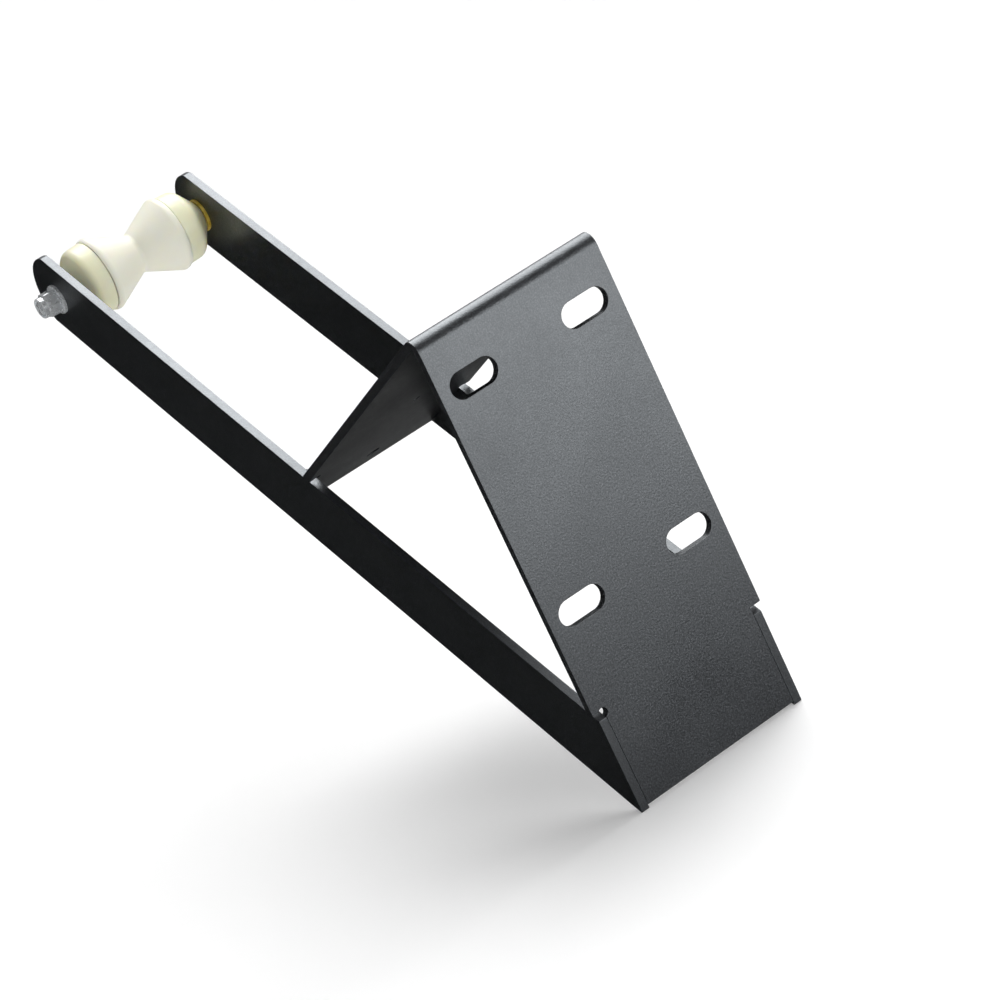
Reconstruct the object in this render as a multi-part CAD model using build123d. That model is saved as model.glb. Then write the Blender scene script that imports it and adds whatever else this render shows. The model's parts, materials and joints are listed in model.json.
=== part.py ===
"""Bow roller: a welded steel bracket that carries an hourglass roller between two long arms.

The mounting plate stands upright. The origin is at the centre of the plate's slot pattern, on the
face that lies against the post. +X points from the post towards the boat, +Y is to the left when
looking that way, and +Z is up. All lengths are in millimetres.
"""
from build123d import *
import os
from math import cos, radians, sin, sqrt, tan

os.makedirs("parts", exist_ok=True)

# ---- driving dimensions: the steel bracket ------------------------------------------------------
SHEET = 6.35  # every plate is cut from quarter-inch steel
ARM_SPREAD = 140.0  # over the outer faces of the two arms
ARM_DEPTH = 61.5  # depth of the flat arm, edge to edge
ARM_ANGLE = 60.0  # degrees between the mounting plate and the arms
AXLE_REACH = 677.0  # from the arm's lower corner to the axle, along the arm
TIP_RADIUS = 33.8  # round end of the arm, about the axle
AXLE_HOLE = 20.0  # diameter of the hole in the arm tip
CORNER_RADIUS = 1.2  # lower corner of the arm
ARM_DROP = 3.6  # the arm's sharp corner lies this far below the plate's lower edge

PLATE_WIDTH = 145.0  # a little wider than the arms' outer faces
PLATE_HEIGHT = 353.5  # lower edge to the sharp corner of the top bend
BRACE_DROP = 24.2  # degrees that the brace falls below level
BEND_RADIUS = 9.0  # outer radius of the top bend
SHOULDER_GAP = 2.2  # between the wide part of the sheet and the arms' upper edges
BRACE_END_SETBACK = 0.5  # the brace stops just inside the arms' lower edges
RELIEF_RADIUS = 3.4  # round relief in the corner of each step
RELIEF_OUT = 0.8  # its centre lies this far outside the arm's inner face
RELIEF_DROP = 2.0  # the foot's relief is centred this far below the shoulder
SMALL_HOLE_RADIUS = 2.6  # hanging hole in the middle of the brace
SMALL_HOLE_ALONG = 223.5  # from the bend's sharp corner, along the brace
LARGE_HOLE_RADIUS = 5.5  # second hole, near the brace's lower edge
LARGE_HOLE_ALONG = 346.7

SLOT_PITCH_Y = 91.0  # centre distance across, for U-bolts round a 76 mm post
SLOT_PITCH_Z = 167.5  # centre distance up the plate
SLOT_LENGTH = 36.4  # end to end
SLOT_WIDTH = 18.2
SLOT_FROM_EDGE = 141.0  # lower pair's centre line above the plate's lower edge

WELD_LEG = 5.0  # leg of each fillet weld
WELD_CROWN = 0.35  # how far its face stands proud of a straight slope
WELD_END_GAP = 4.0  # weld stops this far short of each end of its joint

# ---- driving dimensions: the roller -------------------------------------------------------------
BOLT_DIA = 12.0
BORE_CLEARANCE = 0.075  # radial running clearance of the roller on the bolt
FLANGE_RADIUS = 30.9  # largest radius of the spool
WAIST_RADIUS = 15.5
WAIST_FILLET = 5.0
SPOOL_HALF = 34.6  # half the spool's length
SPOOL_END_RADIUS = 29.2  # where the rounded flange meets the end face
FLANGE_ROUNDING = 5.0
CONE_END = 31.5  # the cones reach the flange this far from the middle
JOINT_GAP = 0.3  # between faces that turn against each other
BELL_RIM_RADIUS = 28.6
BELL_SHOULDER_RADIUS = 27.9
BELL_SHOULDER_AT = 48.8  # corner of the bell's shoulder, from the middle
BELL_ROUNDING = 8.0
BELL_RIM_ROUNDING = 1.0
BELL_HUB_RADIUS = 12.0
BUSH_FLANGE_RADIUS = 13.5
BUSH_FLANGE = 2.5  # thickness of the bush's flange
BUSH_CLEARANCE = 0.05  # radial, between the bush and the hole in the arm
BUSH_FLANGE_ROUNDING = 0.6
BUSH_SETBACK = 0.2  # its spigot ends just inside the arm's outer face
BUSH_BORE = 12.3

# ---- driving dimensions: the fasteners (M12) ----------------------------------------------------
HEX_ACROSS_FLATS = 18.0
HEAD_HEIGHT = 7.5
HEX_CHAMFER = 30.0  # degrees, on the corners of the hexagons
BOLT_LENGTH = 160.0  # under the head
THREAD_LENGTH = 36.0
THREAD_DEPTH = 0.45  # the shank narrows by this much where it is threaded
THREAD_RUNOUT = 1.0
BOLT_POINT = 1.2  # chamfer on the bolt's end
WASHER_RADIUS = 12.0
WASHER_BORE_RADIUS = 6.5
WASHER_THICKNESS = 2.5
WASHER_ROUNDING = 0.5
NUT_HEIGHT = 14.7
NUT_HEX_HEIGHT = 10.2
NUT_COLLAR_RADIUS = 8.3
NUT_COLLAR_FLARE = 0.4  # the collar widens by this much where it grows out of the hexagon
NUT_COLLAR_ROUNDING = 1.2
INSERT_RADIUS = 7.4
INSERT_HEIGHT = 3.4
INSERT_LIP = 0.8  # collar metal turned over the insert
INSERT_LIP_REACH = 0.6  # how far it covers the insert
CUT = 1.0  # cutters run this far past what they cut

# ---- derived places -----------------------------------------------------------------------------
HALF_SPREAD = ARM_SPREAD / 2
HALF_GAP = HALF_SPREAD - SHEET
PLATE_BOTTOM = -(SLOT_FROM_EDGE + SLOT_PITCH_Z / 2)
APEX_Z = PLATE_BOTTOM + PLATE_HEIGHT
ALONG = Vector(sin(radians(ARM_ANGLE)), 0, cos(radians(ARM_ANGLE)))  # up the arm
ACROSS = Vector(-cos(radians(ARM_ANGLE)), 0, sin(radians(ARM_ANGLE)))  # lower to upper edge
ARM_CORNER = Vector(0, 0, PLATE_BOTTOM - ARM_DROP)
AXLE = ARM_CORNER + ALONG * AXLE_REACH + ACROSS * (ARM_DEPTH / 2)
BRACE_DIR = Vector(cos(radians(BRACE_DROP)), 0, -sin(radians(BRACE_DROP)))
BRACE_IN = Vector(-sin(radians(BRACE_DROP)), 0, -cos(radians(BRACE_DROP)))  # outer to inner face
APEX = Vector(0, 0, APEX_Z)
BEND_HALF = (90.0 - BRACE_DROP) / 2  # half the angle between plate and brace
INNER_SETBACK = SHEET / tan(radians(BEND_HALF))
BOLT_RADIUS = BOLT_DIA / 2
BORE_RADIUS = BOLT_RADIUS + BORE_CLEARANCE
FLAT_RADIUS = HEX_ACROSS_FLATS / 2
HEX_CORNER_RADIUS = HEX_ACROSS_FLATS / sqrt(3)
SEAT = HALF_SPREAD + WASHER_THICKNESS  # the washers' outer faces, from the middle


def arm_point(along, across):
    """A point on the arm's side view, from its lower corner."""
    return ARM_CORNER + ALONG * along + ACROSS * across


def slab(outline, y_from, y_to):
    """A flat part: an outline in the X-Z plane, given as a face at Y = 0, made thick along Y."""
    return extrude(Pos(0, y_from, 0) * outline, y_to - y_from, dir=(0, 1, 0))


def turned(profile_points, roundings=()):
    """A body turned about the axle.

    profile_points are (distance along Y, radius). roundings are (index, fillet radius).
    """
    points = [Vector(AXLE.X + radius, y, AXLE.Z) for y, radius in profile_points]
    face = make_face(Polyline(*points, close=True))
    for index, radius in roundings:
        corner = min(face.vertices(), key=lambda v: (Vector(v) - points[index]).length)
        face = fillet(corner, radius)
    return revolve(face, Axis(AXLE, (0, 1, 0)), 360)


def hexagon(across_flats, y_from, y_to):
    """A hexagonal prism on the axle."""
    plane = Plane(origin=(AXLE.X, y_from, AXLE.Z), x_dir=(1, 0, 0), z_dir=(0, 1, 0))
    return extrude(plane * RegularPolygon(across_flats / sqrt(3), 6), y_to - y_from)


def rod(radius, start, end):
    """A round bar from one point to another."""
    run = end - start
    return extrude(Plane(origin=start, z_dir=run) * Circle(radius), run.length)


def brace_run(depth, across):
    """How far from the sharp bend, along the brace, it meets a line of the arm.

    depth is measured from the brace's outer face: 0 there and SHEET on the inner face. across is
    the line's height over the arm's lower edge.
    """
    start = APEX + BRACE_IN * depth
    height = (start - arm_point(0, across)).dot(ACROSS)
    return height / -BRACE_DIR.dot(ACROSS)


def brace_point(along, y):
    """A point on the brace's outer face."""
    place = APEX + BRACE_DIR * along
    return Vector(place.X, y, place.Z)


def drilled(place, radius):
    """A cutter for a round hole through the brace, at a point of its outer face."""
    return rod(radius, place - BRACE_IN * CUT, place + BRACE_IN * (SHEET + CUT))


# ---- the arms -----------------------------------------------------------------------------------
def make_arm(y_from, y_to):
    tip_run = sqrt(TIP_RADIUS**2 - (ARM_DEPTH / 2) ** 2)
    lower = arm_point(AXLE_REACH + tip_run, 0)
    upper = arm_point(AXLE_REACH + tip_run, ARM_DEPTH)
    nose = arm_point(AXLE_REACH + TIP_RADIUS, ARM_DEPTH / 2)
    end_top = ARM_CORNER + Vector(0, 0, ARM_DEPTH / sin(radians(ARM_ANGLE)))
    outline = make_face(
        [
            Line(ARM_CORNER, lower),
            ThreePointArc(lower, nose, upper),
            Line(upper, end_top),
            Line(end_top, ARM_CORNER),
        ]
    )
    corner = min(outline.vertices(), key=lambda v: (Vector(v) - ARM_CORNER).length)
    outline = fillet(corner, CORNER_RADIUS)
    arm = slab(outline, y_from, y_to)
    hole_from = Vector(AXLE.X, y_from - CUT, AXLE.Z)
    hole_to = Vector(AXLE.X, y_to + CUT, AXLE.Z)
    return arm - rod(AXLE_HOLE / 2, hole_from, hole_to)


# ---- the bent plate: mounting plate and brace in one sheet --------------------------------------
SHOULDER_Z = (
    ARM_CORNER.Z
    + ARM_DEPTH / sin(radians(ARM_ANGLE))
    + SHEET / tan(radians(ARM_ANGLE))
    + SHOULDER_GAP
)
BRACE_SHOULDER = brace_run(SHEET, ARM_DEPTH) - SHOULDER_GAP
BRACE_END = brace_run(SHEET, 0) - BRACE_END_SETBACK


def sheet_outline():
    """Side view of the sheet, with its bend."""
    inner_apex = APEX + BRACE_IN * SHEET + BRACE_DIR * INNER_SETBACK
    outer_end = APEX + BRACE_DIR * BRACE_END
    points = [
        Vector(0, 0, PLATE_BOTTOM),
        APEX,
        outer_end,
        outer_end + BRACE_IN * SHEET,
        inner_apex,
        Vector(SHEET, 0, PLATE_BOTTOM),
    ]
    face = make_face(Polyline(*points, close=True))
    for place, radius in ((APEX, BEND_RADIUS), (inner_apex, BEND_RADIUS - SHEET)):
        corner = min(face.vertices(), key=lambda v: (Vector(v) - place).length)
        face = fillet(corner, radius)
    return face


def slot_cutter(y, z):
    """One long hole through the mounting plate, running across it."""
    plane = Plane(origin=(-CUT, y, z), x_dir=(0, 1, 0), z_dir=(1, 0, 0))
    return extrude(plane * SlotOverall(SLOT_LENGTH, SLOT_WIDTH), SHEET + 2 * CUT)


def step_cutters(side):
    """What makes room for one arm: a step at the foot, a step down the brace, and their reliefs.

    The right arm's step at the foot has a plain corner: the photo shows a relief only on the left.
    """
    width = PLATE_WIDTH / 2 - HALF_GAP + CUT
    y_mid = side * (HALF_GAP + width / 2)
    y_relief = side * (HALF_GAP + RELIEF_OUT)
    foot = SHOULDER_Z - PLATE_BOTTOM + CUT
    yield Pos(0, y_mid, SHOULDER_Z - foot / 2) * Box(4 * SHEET, width, foot)
    if side == 1:
        z_relief = SHOULDER_Z - RELIEF_DROP
        yield rod(
            RELIEF_RADIUS,
            Vector(-CUT, y_relief, z_relief),
            Vector(SHEET + CUT, y_relief, z_relief),
        )
    tail = BRACE_END - BRACE_SHOULDER + CUT
    middle = brace_point(BRACE_SHOULDER + tail / 2, y_mid) + BRACE_IN * (SHEET / 2)
    yield Pos(*middle) * Rot(0, BRACE_DROP, 0) * Box(tail, width, 4 * SHEET)
    yield drilled(brace_point(BRACE_SHOULDER, y_relief), RELIEF_RADIUS)


def make_bent_plate():
    plate = slab(sheet_outline(), -PLATE_WIDTH / 2, PLATE_WIDTH / 2)
    for side in (1, -1):
        for cutter in step_cutters(side):
            plate -= cutter
        for z in (-SLOT_PITCH_Z / 2, SLOT_PITCH_Z / 2):
            plate -= slot_cutter(side * SLOT_PITCH_Y / 2, z)
    plate -= drilled(brace_point(SMALL_HOLE_ALONG, 0), SMALL_HOLE_RADIUS)
    return plate - drilled(brace_point(LARGE_HOLE_ALONG, 0), LARGE_HOLE_RADIUS)


# ---- the welds ----------------------------------------------------------------------------------
def make_weld(start, end, off_sheet, side):
    """A fillet weld from start to end, in the corner between a sheet's face and an arm.

    start and end lie on the sheet's face at the arm's inner face. off_sheet points away from the
    sheet, and side is the arm's side: 1 for left, -1 for right.
    """
    run = end - start
    plane = Plane(origin=start, x_dir=off_sheet, z_dir=run)
    to_middle = plane.to_local_coords(start + Vector(0, -side, 0))
    turn = 1 if to_middle.Y > 0 else -1
    crown = WELD_LEG / 2 + WELD_CROWN
    sheet_toe = (0, turn * WELD_LEG)
    arm_toe = (WELD_LEG, 0)
    face = make_face(
        [
            Line((0, 0), arm_toe),
            ThreePointArc(arm_toe, (crown, turn * crown), sheet_toe),
            Line(sheet_toe, (0, 0)),
        ]
    )
    return extrude(plane * face, run.length)


def make_plate_weld(side):
    """Inside corner between the mounting plate's foot and the arm."""
    y = side * HALF_GAP
    low_end = PLATE_BOTTOM + SHEET / tan(radians(ARM_ANGLE)) + WELD_END_GAP
    high_end = SHOULDER_Z - RELIEF_DROP - RELIEF_RADIUS - WELD_END_GAP
    return make_weld(Vector(SHEET, y, low_end), Vector(SHEET, y, high_end), Vector(1, 0, 0), side)


def make_brace_weld(side):
    """Corner between the brace's upper face and the arm, on the side towards the roller."""
    y = side * HALF_GAP
    first = brace_point(BRACE_SHOULDER + RELIEF_RADIUS + WELD_END_GAP, y)
    last = brace_point(BRACE_END - WELD_END_GAP, y)
    return make_weld(first, last, BRACE_IN * -1, side)


# ---- the roller ---------------------------------------------------------------------------------
def make_spool():
    half = [
        (SPOOL_HALF, BORE_RADIUS),
        (SPOOL_HALF, SPOOL_END_RADIUS),
        (CONE_END, FLANGE_RADIUS),
    ]
    mirrored = [(-y, radius) for y, radius in reversed(half)]
    profile = half + [(0, WAIST_RADIUS)] + mirrored
    left_flange, waist, right_flange = 2, 3, 4
    roundings = (
        (left_flange, FLANGE_ROUNDING),
        (waist, WAIST_FILLET),
        (right_flange, FLANGE_ROUNDING),
    )
    return turned(profile, roundings)


def make_bell(side):
    """Domed end bell, thick-walled, with its hub running on the bolt."""
    inner = SPOOL_HALF + JOINT_GAP
    outer = HALF_GAP - BUSH_FLANGE - JOINT_GAP
    profile = [
        (side * inner, BORE_RADIUS),
        (side * inner, BELL_RIM_RADIUS),
        (side * BELL_SHOULDER_AT, BELL_SHOULDER_RADIUS),
        (side * outer, BELL_HUB_RADIUS),
        (side * outer, BORE_RADIUS),
    ]
    rim, shoulder = 1, 2
    return turned(profile, ((rim, BELL_RIM_ROUNDING), (shoulder, BELL_ROUNDING)))


def make_bush(side):
    """Flanged bush: its spigot fills the arm's hole and its flange carries the bell's thrust."""
    inner = side * (HALF_GAP - BUSH_FLANGE)
    face = side * HALF_GAP
    outer = side * (HALF_SPREAD - BUSH_SETBACK)
    spigot = AXLE_HOLE / 2 - BUSH_CLEARANCE
    profile = [
        (inner, BUSH_BORE / 2),
        (inner, BUSH_FLANGE_RADIUS),
        (face, BUSH_FLANGE_RADIUS),
        (face, spigot),
        (outer, spigot),
        (outer, BUSH_BORE / 2),
    ]
    flange_edge = 1
    return turned(profile, ((flange_edge, BUSH_FLANGE_ROUNDING),))


# ---- the fasteners ------------------------------------------------------------------------------
def make_washer(side):
    inner = side * HALF_SPREAD
    outer = side * SEAT
    profile = [
        (inner, WASHER_BORE_RADIUS),
        (inner, WASHER_RADIUS),
        (outer, WASHER_RADIUS),
        (outer, WASHER_BORE_RADIUS),
    ]
    outer_edge = 2
    return turned(profile, ((outer_edge, WASHER_ROUNDING),))


def corner_cutter(face, outward):
    """The ring that trims a hexagon's corners at one of its end faces.

    face is the end's distance from the middle, and outward is 1 where it looks left, -1 right.
    """
    rise = (HEX_CORNER_RADIUS + CUT - FLAT_RADIUS) * tan(radians(HEX_CHAMFER))
    return turned(
        [
            (face + outward * CUT, FLAT_RADIUS),
            (face, FLAT_RADIUS),
            (face - outward * rise, HEX_CORNER_RADIUS + CUT),
            (face + outward * CUT, HEX_CORNER_RADIUS + CUT),
        ]
    )


def make_bolt():
    """Hexagon-head bolt, head on the right, threaded where the nut sits."""
    under_head = -SEAT
    head_end = under_head - HEAD_HEIGHT
    tip = under_head + BOLT_LENGTH
    thread_from = tip - THREAD_LENGTH
    thread_radius = BOLT_RADIUS - THREAD_DEPTH
    shank = turned(
        [
            (under_head, 0),
            (under_head, BOLT_RADIUS),
            (thread_from, BOLT_RADIUS),
            (thread_from + THREAD_RUNOUT, thread_radius),
            (tip - BOLT_POINT, thread_radius),
            (tip, thread_radius - BOLT_POINT),
            (tip, 0),
        ]
    )
    head = hexagon(HEX_ACROSS_FLATS, head_end, under_head) - corner_cutter(head_end, -1)
    return head + shank


def make_lock_nut():
    """Hexagon nut with a round collar crimped over a nylon ring."""
    hex_top = SEAT + NUT_HEX_HEIGHT
    top = SEAT + NUT_HEIGHT
    body = hexagon(HEX_ACROSS_FLATS, SEAT, hex_top)
    body = body - corner_cutter(hex_top, 1) - corner_cutter(SEAT, -1)
    collar_profile = [
        (hex_top - CUT, BOLT_RADIUS),
        (hex_top - CUT, NUT_COLLAR_RADIUS + NUT_COLLAR_FLARE),
        (hex_top + NUT_COLLAR_FLARE, NUT_COLLAR_RADIUS),
        (top, NUT_COLLAR_RADIUS),
        (top, BOLT_RADIUS),
    ]
    crimped_edge = 3
    body += turned(collar_profile, ((crimped_edge, NUT_COLLAR_ROUNDING),))
    under_lip = top - INSERT_LIP
    opening = INSERT_RADIUS - INSERT_LIP_REACH
    return body - turned(
        [
            (SEAT - CUT, 0),
            (SEAT - CUT, BOLT_RADIUS),
            (under_lip - INSERT_HEIGHT, BOLT_RADIUS),
            (under_lip - INSERT_HEIGHT, INSERT_RADIUS),
            (under_lip, INSERT_RADIUS),
            (under_lip, opening),
            (top + CUT, opening),
            (top + CUT, 0),
        ]
    )


def make_nut_insert():
    """The nylon ring inside the collar."""
    under_lip = SEAT + NUT_HEIGHT - INSERT_LIP
    return turned(
        [
            (under_lip - INSERT_HEIGHT, BOLT_RADIUS),
            (under_lip - INSERT_HEIGHT, INSERT_RADIUS),
            (under_lip, INSERT_RADIUS),
            (under_lip, BOLT_RADIUS),
        ]
    )


# ---- write every piece --------------------------------------------------------------------------
PIECES = {
    "bent_plate": make_bent_plate(),
    "left_arm": make_arm(HALF_GAP, HALF_SPREAD),
    "right_arm": make_arm(-HALF_SPREAD, -HALF_GAP),
    "left_plate_weld": make_plate_weld(1),
    "right_plate_weld": make_plate_weld(-1),
    "left_brace_weld": make_brace_weld(1),
    "right_brace_weld": make_brace_weld(-1),
    "roller_spool": make_spool(),
    "left_end_bell": make_bell(1),
    "right_end_bell": make_bell(-1),
    "left_bush": make_bush(1),
    "right_bush": make_bush(-1),
    "axle_bolt": make_bolt(),
    "nut_washer": make_washer(1),
    "head_washer": make_washer(-1),
    "lock_nut": make_lock_nut(),
    "nut_insert": make_nut_insert(),
}

for name, piece in PIECES.items():
    export_step(piece, f"parts/{name}.step")
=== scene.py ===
"""Looks of the bow roller: a powder-coated bracket, an ivory plastic roller and zinc-plated fasteners.

Everything is in metres, in the CAD frame: +X leads away from the post, +Y to the left arm, +Z up.
"""
import json
from math import atan2, ceil, cos, pi, radians, sin, sqrt, tan

import bmesh
import bpy
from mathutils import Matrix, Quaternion, Vector
from mathutils.geometry import tessellate_polygon

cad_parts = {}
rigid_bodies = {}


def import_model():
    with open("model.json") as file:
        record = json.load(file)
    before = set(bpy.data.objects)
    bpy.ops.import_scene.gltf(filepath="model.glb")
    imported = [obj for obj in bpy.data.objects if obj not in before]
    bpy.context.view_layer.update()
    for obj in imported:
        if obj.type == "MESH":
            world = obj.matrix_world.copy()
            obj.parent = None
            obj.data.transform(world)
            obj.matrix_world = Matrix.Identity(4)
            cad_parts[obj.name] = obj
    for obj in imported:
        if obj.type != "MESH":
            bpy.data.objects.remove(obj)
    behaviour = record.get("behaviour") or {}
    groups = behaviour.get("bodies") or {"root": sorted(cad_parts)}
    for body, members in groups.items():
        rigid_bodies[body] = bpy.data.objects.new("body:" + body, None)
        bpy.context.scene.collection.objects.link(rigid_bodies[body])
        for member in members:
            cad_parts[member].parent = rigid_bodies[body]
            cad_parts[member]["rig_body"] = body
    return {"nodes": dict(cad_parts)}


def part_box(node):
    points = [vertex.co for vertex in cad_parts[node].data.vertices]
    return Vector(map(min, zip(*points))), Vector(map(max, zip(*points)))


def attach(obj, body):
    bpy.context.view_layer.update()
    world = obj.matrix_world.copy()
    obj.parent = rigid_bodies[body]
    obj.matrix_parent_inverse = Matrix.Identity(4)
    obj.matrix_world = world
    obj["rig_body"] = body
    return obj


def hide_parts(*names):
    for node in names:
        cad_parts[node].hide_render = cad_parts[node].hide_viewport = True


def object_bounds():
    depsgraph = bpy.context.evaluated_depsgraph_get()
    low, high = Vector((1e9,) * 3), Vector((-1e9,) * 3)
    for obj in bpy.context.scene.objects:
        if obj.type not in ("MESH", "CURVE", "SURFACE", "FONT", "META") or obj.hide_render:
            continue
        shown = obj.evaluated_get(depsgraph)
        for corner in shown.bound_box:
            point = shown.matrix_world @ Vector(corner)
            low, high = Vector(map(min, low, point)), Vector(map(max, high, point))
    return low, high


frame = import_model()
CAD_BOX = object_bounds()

MM = 0.001
TOUCHING = 1e-7  # points closer than this are one point

# ---- places taken from the frame ----------------------------------------------------------------
ARM_LOW, ARM_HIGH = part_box("left_arm")
SPOOL_LOW, SPOOL_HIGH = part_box("roller_spool")
BELL_LOW, BELL_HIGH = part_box("left_end_bell")
BUSH_LOW, BUSH_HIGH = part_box("left_bush")
WASHER_LOW, WASHER_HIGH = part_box("nut_washer")
NUT_LOW, NUT_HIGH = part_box("lock_nut")
INSERT_LOW, INSERT_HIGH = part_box("nut_insert")
BOLT_LOW, BOLT_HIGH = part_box("axle_bolt")
HALF_SPREAD = ARM_HIGH.y  # from the middle to an arm's outer face
HALF_GAP = ARM_LOW.y  # from the middle to an arm's inner face
SHEET = HALF_SPREAD - HALF_GAP
AXLE_X = (SPOOL_LOW.x + SPOOL_HIGH.x) / 2
AXLE_Z = (SPOOL_LOW.z + SPOOL_HIGH.z) / 2
HALF_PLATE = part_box("bent_plate")[1].y
PLATE_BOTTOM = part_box("bent_plate")[0].z

# ---- the bracket's dimensions -------------------------------------------------------------------
ARM_DEPTH = 61.5 * MM
ARM_ANGLE = radians(60)
AXLE_REACH = 677 * MM
TIP_RADIUS = 33.8 * MM
TIP_BLEND = 3 * MM  # softens the corner where the arm's edge meets its round tip
ARM_CORNER_RADIUS = 1.2 * MM
ARM_DROP = 3.6 * MM
AXLE_HOLE_RADIUS = 10 * MM
PLATE_HEIGHT = 353.5 * MM
BRACE_DROP = radians(24.2)
BEND_RADIUS = 9 * MM
BEND_STEPS = 24
SHOULDER_GAP = 2.2 * MM
BRACE_END_SETBACK = 0.5 * MM
RELIEF_RADIUS = 3.4 * MM
RELIEF_OUT = 0.8 * MM
RELIEF_DROP = 2 * MM  # the left foot's relief is centred this far below the shoulder
BRACE_HOLES = ((223.5 * MM, 2.6 * MM), (346.7 * MM, 5.5 * MM))  # along the brace, and radius
SLOT_HALF_Y = 45.5 * MM
SLOT_HALF_Z = 83.75 * MM
SLOT_STRAIGHT = 9.1 * MM  # from a slot's middle to the centre of its round end
SLOT_RADIUS = 9.1 * MM
EDGE_ROUNDING = 0.4 * MM
LASER_CORNER = 0.6 * MM
BRAKE_LINE_DROP = 11.2 * MM  # the press brake's mark lies this far below the bend
BRAKE_LINE_WIDTH = 0.45 * MM
BRAKE_LINE_DEPTH = 0.09 * MM
WELD_LEG = 5 * MM
WELD_CROWN = 0.5 * MM
WELD_END_GAP = 4 * MM
WELD_RIPPLE = 1.7 * MM  # distance from one ripple to the next
WELD_RIPPLE_HEIGHT = 0.16 * MM
WELD_ROUND_END = 4 * MM
WELD_SINK = 0.3 * MM  # how far the bead's back lies inside the sheets
WELD_ARC_STEPS = 14
WELD_STATION = 0.22 * MM
WELD_TAPER_FLOOR = 0.003  # keeps the bead's end from shrinking to a point
WELD_WANDER = (0.035, 0.03)  # how much a quick and a slow wave vary the bead's leg

# ---- the roller's and fasteners' dimensions -----------------------------------------------------
BOLT_RADIUS = 6 * MM
BORE_CLEARANCE = 0.075 * MM
BORE_RADIUS = BOLT_RADIUS + BORE_CLEARANCE
ROLLER_SEGMENTS = 192
FLANGE_RADIUS = 30.9 * MM
WAIST_RADIUS = 15.5 * MM
SPOOL_END_RADIUS = 29.2 * MM
CONE_END = 31.5 * MM
BELL_RIM_RADIUS = 28.6 * MM
BELL_SHOULDER_RADIUS = 27.9 * MM
BELL_SHOULDER_AT = 48.8 * MM
BELL_HUB_RADIUS = 12 * MM
BUSH_FLANGE_RADIUS = 13.5 * MM
BUSH_SPIGOT_RADIUS = 9.95 * MM
BUSH_BORE_RADIUS = 6.15 * MM
WASHER_RADIUS = 12 * MM
WASHER_BORE_RADIUS = 6.5 * MM
FLAT_RADIUS = 9 * MM
HEX_CORNER_RADIUS = 10.27 * MM
HEX_CHAMFER = radians(30)
HEX_FACE_RADIUS = 0.97 * FLAT_RADIUS  # the flat face left inside the chamfer
HEX_SOFT_INSET = 0.12 * MM  # softening of the hexagon's chamfered edge: inwards
HEX_SOFT_DEPTH = 0.14 * MM  # and along the axle
HEX_SEAT_INSET = 0.15 * MM
NUT_HEX_HEIGHT = 10.2 * MM
NUT_COLLAR_RADIUS = 8.3 * MM
INSERT_RADIUS = 7.4 * MM
LIP_RADIUS = 6.8 * MM
THREAD_LENGTH = 36 * MM
THREAD_PITCH = 1.75 * MM
THREAD_MINOR_RADIUS = 5.1 * MM
THREAD_MAJOR_RADIUS = 5.93 * MM
THREAD_STATIONS = 8  # rings to each pitch
THREAD_CREST = 1.35  # how flat the crests and roots are
THREAD_FLANK = 3.2
BOLT_POINT = 1.2 * MM

# ---- derived places -----------------------------------------------------------------------------
ALONG = Vector((sin(ARM_ANGLE), 0, cos(ARM_ANGLE)))  # up the arm
ACROSS = Vector((-cos(ARM_ANGLE), 0, sin(ARM_ANGLE)))  # from its lower edge to its upper edge
ARM_CORNER = Vector((0, 0, PLATE_BOTTOM - ARM_DROP))
APEX = Vector((0, 0, PLATE_BOTTOM + PLATE_HEIGHT))
BRACE_DIR = Vector((cos(BRACE_DROP), 0, -sin(BRACE_DROP)))
BRACE_UP = Vector((sin(BRACE_DROP), 0, cos(BRACE_DROP)))
BEND_TURN = pi / 2 + BRACE_DROP
BEND_SETBACK = BEND_RADIUS * tan(BEND_TURN / 2)
BEND_START = APEX.z - BEND_SETBACK
BEND_END = BEND_START + BEND_RADIUS * BEND_TURN
FLOOR_Z = CAD_BOX[0].z
SHOULDER_Z = (
    ARM_CORNER.z + ARM_DEPTH / sin(ARM_ANGLE) + SHEET / tan(ARM_ANGLE) + SHOULDER_GAP
)


def brace_run(across):
    """How far from the sharp bend the brace's inner face meets a line of the arm."""
    start = APEX - BRACE_UP * SHEET
    height = (start - ARM_CORNER).dot(ACROSS) - across
    return height / -BRACE_DIR.dot(ACROSS)


def unrolled(along_brace):
    """Distance up the flat blank of a place on the brace."""
    return BEND_END + along_brace - BEND_SETBACK


BRACE_SHOULDER = brace_run(ARM_DEPTH) - SHOULDER_GAP
BRACE_END = brace_run(0) - BRACE_END_SETBACK


# ---- outlines: closed rows of arcs, counter-clockwise round the material ------------------------
# An arc is (centre, radius, first angle, last angle). Straight lines join one arc to the next.
ARC_STEP = radians(6)
HOLE_STEPS = 72


def spoke(angle):
    """The unit vector at an angle."""
    return Vector((cos(angle), sin(angle)))


def corner_arc(before, corner, after, radius):
    """The arc that rounds one corner of a polygon."""
    arrive = (corner - before).normalized()
    leave = (after - corner).normalized()
    turn = atan2(arrive.x * leave.y - arrive.y * leave.x, arrive.dot(leave))
    side = 1 if turn > 0 else -1
    to_centre = Vector((-arrive.y, arrive.x)) * side
    centre = corner - arrive * radius * tan(abs(turn) / 2) + to_centre * radius
    first = atan2(-to_centre.y, -to_centre.x)
    return centre, radius, first, first + turn


def rounded(corners):
    """The arcs of a polygon given as (u, v, corner radius)."""
    spots = [Vector(corner[:2]) for corner in corners]
    return [
        corner_arc(spots[i - 1], spots[i], spots[(i + 1) % len(spots)], corners[i][2])
        for i in range(len(spots))
    ]


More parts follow.
